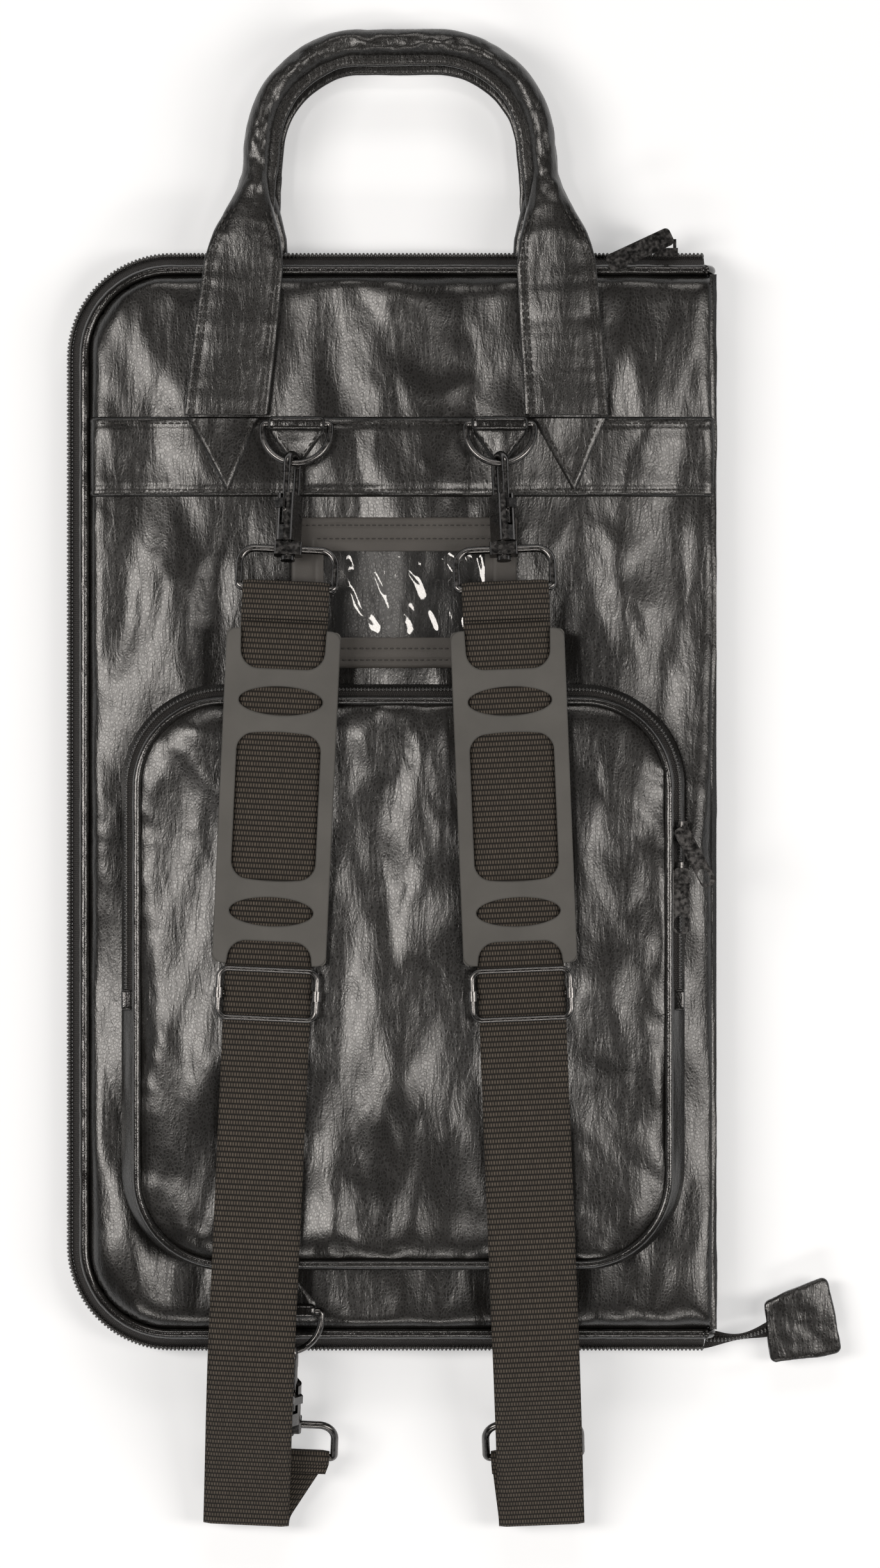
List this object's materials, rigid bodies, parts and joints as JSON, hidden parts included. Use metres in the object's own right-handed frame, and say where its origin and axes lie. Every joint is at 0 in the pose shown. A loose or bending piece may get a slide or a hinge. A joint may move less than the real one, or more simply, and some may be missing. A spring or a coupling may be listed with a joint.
{
  "type": "drum stick bag",
  "caption": "Padded leather drum stick bag that opens like a book, with rolled handles, a zipped pocket, an ID window and clip-on webbing shoulder straps.",
  "frame": {"origin": "middle of the back panel's flat outer face, which rests on the ground", "axes": "+Z out of the front panel, +Y towards the handles, +X towards the spine"},
  "size_m": [0.3454, 0.6627, 0.0635],
  "materials": {
    "leather": "glossy grained",
    "handle_leather": "glossy grained",
    "piping": "glossy",
    "tape": "woven",
    "coil": "satin",
    "lining": "matt",
    "sleeve": "matt",
    "vinyl": "matt",
    "film": "clear",
    "core": "rope",
    "hardware": "black nickel",
    "webbing": "woven",
    "rubber": "matt"
  },
  "bodies": {
    "case_back": {"back_shell": "leather", "back_band": "leather", "back_piping": "piping", "back_zip_tape": "tape", "back_zip_coil": "coil", "back_lining": "lining", "back_sleeves": "sleeve"},
    "spine": {"spine_wrap": "leather", "spine_piping": "piping", "zip_tail_tape": "tape", "zip_tail_tab": "leather"},
    "case_front": {"front_shell": "leather", "front_band": "leather", "front_piping": "piping", "front_zip_tape": "tape", "front_zip_coil": "coil", "front_lining": "lining", "front_sleeves": "sleeve", "window_frame": "vinyl", "window_film": "film", "pocket_bag": "leather", "pocket_piping": "piping", "pocket_zip": "coil", "pocket_zip_tabs": "leather", "ring_keepers": "leather"},
    "front_handle": {"front_handle": "handle_leather", "front_handle_core": "core"},
    "back_handle": {"back_handle": "handle_leather", "back_handle_core": "core"},
    "main_slider": {"main_slider": "hardware"},
    "main_pull": {"main_pull": "hardware"},
    "pocket_slider_upper": {"pocket_slider_upper": "hardware"},
    "pocket_pull_upper": {"pocket_pull_upper": "hardware"},
    "pocket_slider_lower": {"pocket_slider_lower": "hardware"},
    "pocket_pull_lower": {"pocket_pull_lower": "hardware"},
    "ring_top_left": {"ring_top_left": "hardware"},
    "hook_top_left": {"hook_top_left": "hardware"},
    "bolt_top_left": {"bolt_top_left": "hardware"},
    "loop_top_left": {"loop_top_left": "hardware"},
    "strap_left": {"strap_left": "webbing"},
    "pad_left": {"pad_left": "rubber"},
    "loop_low_left": {"loop_low_left": "hardware"},
    "hook_low_left": {"hook_low_left": "hardware"},
    "bolt_low_left": {"bolt_low_left": "hardware"},
    "ring_low_left": {"ring_low_left": "hardware"},
    "glide_left": {"glide_frame_left": "hardware", "glide_bar_left": "hardware"},
    "ring_top_right": {"ring_top_right": "hardware"},
    "hook_top_right": {"hook_top_right": "hardware"},
    "bolt_top_right": {"bolt_top_right": "hardware"},
    "loop_top_right": {"loop_top_right": "hardware"},
    "strap_right": {"strap_right": "webbing"},
    "pad_right": {"pad_right": "rubber"},
    "loop_low_right": {"loop_low_right": "hardware"},
    "hook_low_right": {"hook_low_right": "hardware"},
    "bolt_low_right": {"bolt_low_right": "hardware"},
    "ring_low_right": {"ring_low_right": "hardware"},
    "glide_right": {"glide_frame_right": "hardware", "glide_bar_right": "hardware"}
  },
  "joints": [
    {"name": "book_lower", "type": "hinge", "parent": "case_back", "child": "spine", "pos_m": [0.142, 0, 0.008], "axis": [0, 1, 0], "range_deg": [0, 90]},
    {"name": "book_upper", "type": "hinge", "parent": "spine", "child": "case_front", "pos_m": [0.142, 0, 0.028], "axis": [0, 1, 0], "range_deg": [0, 90]},
    {"name": "front_handle_swing", "type": "hinge", "parent": "case_front", "child": "front_handle", "pos_m": [0, 0.1723, 0.0378], "axis": [-1, 0, 0], "range_deg": [-90, 0]},
    {"name": "back_handle_swing", "type": "hinge", "parent": "case_back", "child": "back_handle", "pos_m": [0, 0.1723, 0.0022], "axis": [1, 0, 0], "range_deg": [-90, 0]},
    {"name": "main_zip_travel", "type": "slide", "parent": "case_front", "child": "main_slider", "axis": [-1, 0, 0], "range_m": [0, 0.21]},
    {"name": "main_pull_swing", "type": "hinge", "parent": "main_slider", "child": "main_pull", "pos_m": [0.1226, 0.2495, 0.018], "axis": [-1, 0, 0], "range_deg": [0, 90]},
    {"name": "pocket_zip_travel_upper", "type": "slide", "parent": "case_front", "child": "pocket_slider_upper", "axis": [0, 1, 0], "range_m": [0, 0.014]},
    {"name": "pocket_pull_swing_upper", "type": "hinge", "parent": "pocket_slider_upper", "child": "pocket_pull_upper", "pos_m": [0.1281, -0.013, 0.0486], "axis": [0, -1, 0], "range_deg": [0, 70]},
    {"name": "pocket_zip_travel_lower", "type": "slide", "parent": "case_front", "child": "pocket_slider_lower", "axis": [0, -1, 0], "range_m": [0, 0.045]},
    {"name": "pocket_pull_swing_lower", "type": "hinge", "parent": "pocket_slider_lower", "child": "pocket_pull_lower", "pos_m": [0.1281, -0.031, 0.0486], "axis": [0, 1, 0], "range_deg": [0, 50]},
    {"name": "ring_top_swing_left", "type": "hinge", "parent": "case_front", "child": "ring_top_left", "pos_m": [-0.0416, 0.167, 0.0405], "axis": [-1, 0, 0], "range_deg": [0, 45]},
    {"name": "hook_top_swing_left", "type": "hinge", "parent": "ring_top_left", "child": "hook_top_left", "pos_m": [-0.0432, 0.14937, 0.04415], "axis": [-1, 0, 0], "range_deg": [0, 25]},
    {"name": "bolt_top_press_left", "type": "slide", "parent": "hook_top_left", "child": "bolt_top_left", "axis": [-0.0444, -0.9782, 0.2028], "range_m": [0, 0.0065], "stiffness_N_per_m": 300, "springref_m": -0.002},
    {"name": "loop_top_swivel_left", "type": "hinge", "parent": "hook_top_left", "child": "loop_top_left", "pos_m": [-0.04494, 0.11103, 0.0521], "axis": [-0.0444, -0.9782, 0.2028], "range_deg": [-4, 4]},
    {"name": "strap_swing_left", "type": "hinge", "parent": "loop_top_left", "child": "strap_left", "pos_m": [-0.04572, 0.09381, 0.05567], "axis": [-0.999, 0.0454, 0], "range_deg": [0, 60]},
    {"name": "pad_shift_left", "type": "slide", "parent": "strap_left", "child": "pad_left", "axis": [0.0454, 0.999, 0], "range_m": [0, 0.0025]},
    {"name": "glide_shift_left", "type": "slide", "parent": "strap_left", "child": "glide_left", "axis": [-0.0454, -0.999, 0], "range_m": [0, 0.05]},
    {"name": "loop_low_swing_left", "type": "hinge", "parent": "strap_left", "child": "loop_low_left", "pos_m": [-0.0465, -0.291, 0.02], "axis": [0.999, -0.0454, 0], "range_deg": [0, 3]},
    {"name": "hook_low_swivel_left", "type": "hinge", "parent": "loop_low_left", "child": "hook_low_left", "pos_m": [-0.04581, -0.27577, 0.0288], "axis": [0.0393, 0.8651, 0.5], "continuous": true},
    {"name": "bolt_low_press_left", "type": "slide", "parent": "hook_low_left", "child": "bolt_low_left", "axis": [-0.0393, -0.8651, -0.5], "range_m": [0, 0.0065], "stiffness_N_per_m": 300, "springref_m": -0.002},
    {"name": "ring_low_swing_left", "type": "hinge", "parent": "case_front", "child": "ring_low_left", "pos_m": [-0.0456, -0.225, 0.0385], "axis": [-1, 0, 0], "range_deg": [0, 3]},
    {"name": "ring_top_swing_right", "type": "hinge", "parent": "case_front", "child": "ring_top_right", "pos_m": [0.0483, 0.167, 0.0405], "axis": [-1, 0, 0], "range_deg": [0, 45]},
    {"name": "hook_top_swing_right", "type": "hinge", "parent": "ring_top_right", "child": "hook_top_right", "pos_m": [0.0482, 0.14937, 0.04415], "axis": [-1, 0, 0], "range_deg": [0, 25]},
    {"name": "bolt_top_press_right", "type": "slide", "parent": "hook_top_right", "child": "bolt_top_right", "axis": [0.0393, -0.9784, 0.2028], "range_m": [0, 0.0065], "stiffness_N_per_m": 300, "springref_m": -0.002},
    {"name": "loop_top_swivel_right", "type": "hinge", "parent": "hook_top_right", "child": "loop_top_right", "pos_m": [0.04974, 0.11102, 0.0521], "axis": [0.0393, -0.9784, 0.2028], "range_deg": [-4, 4]},
    {"name": "strap_swing_right", "type": "hinge", "parent": "loop_top_right", "child": "strap_right", "pos_m": [0.05043, 0.0938, 0.05567], "axis": [-0.9992, -0.0401, 0], "range_deg": [0, 60]},
    {"name": "pad_shift_right", "type": "slide", "parent": "strap_right", "child": "pad_right", "axis": [-0.0401, 0.9992, 0], "range_m": [0, 0.0025]},
    {"name": "glide_shift_right", "type": "slide", "parent": "strap_right", "child": "glide_right", "axis": [0.0401, -0.9992, 0], "range_m": [0, 0.05]},
    {"name": "loop_low_swing_right", "type": "hinge", "parent": "strap_right", "child": "loop_low_right", "pos_m": [0.0635, -0.291, 0.02], "axis": [0.9992, 0.0401, 0], "range_deg": [0, 3]},
    {"name": "hook_low_swivel_right", "type": "hinge", "parent": "loop_low_right", "child": "hook_low_right", "pos_m": [0.06289, -0.27577, 0.0288], "axis": [-0.0348, 0.8653, 0.5], "continuous": true},
    {"name": "bolt_low_press_right", "type": "slide", "parent": "hook_low_right", "child": "bolt_low_right", "axis": [0.0348, -0.8653, -0.5], "range_m": [0, 0.0065], "stiffness_N_per_m": 300, "springref_m": -0.002},
    {"name": "ring_low_swing_right", "type": "hinge", "parent": "case_front", "child": "ring_low_right", "pos_m": [0.062, -0.225, 0.0385], "axis": [-1, 0, 0], "range_deg": [0, 3]}
  ],
  "couplings": [
    {"joint": "book_upper", "follows": "book_lower", "ratio": 1}
  ]
}
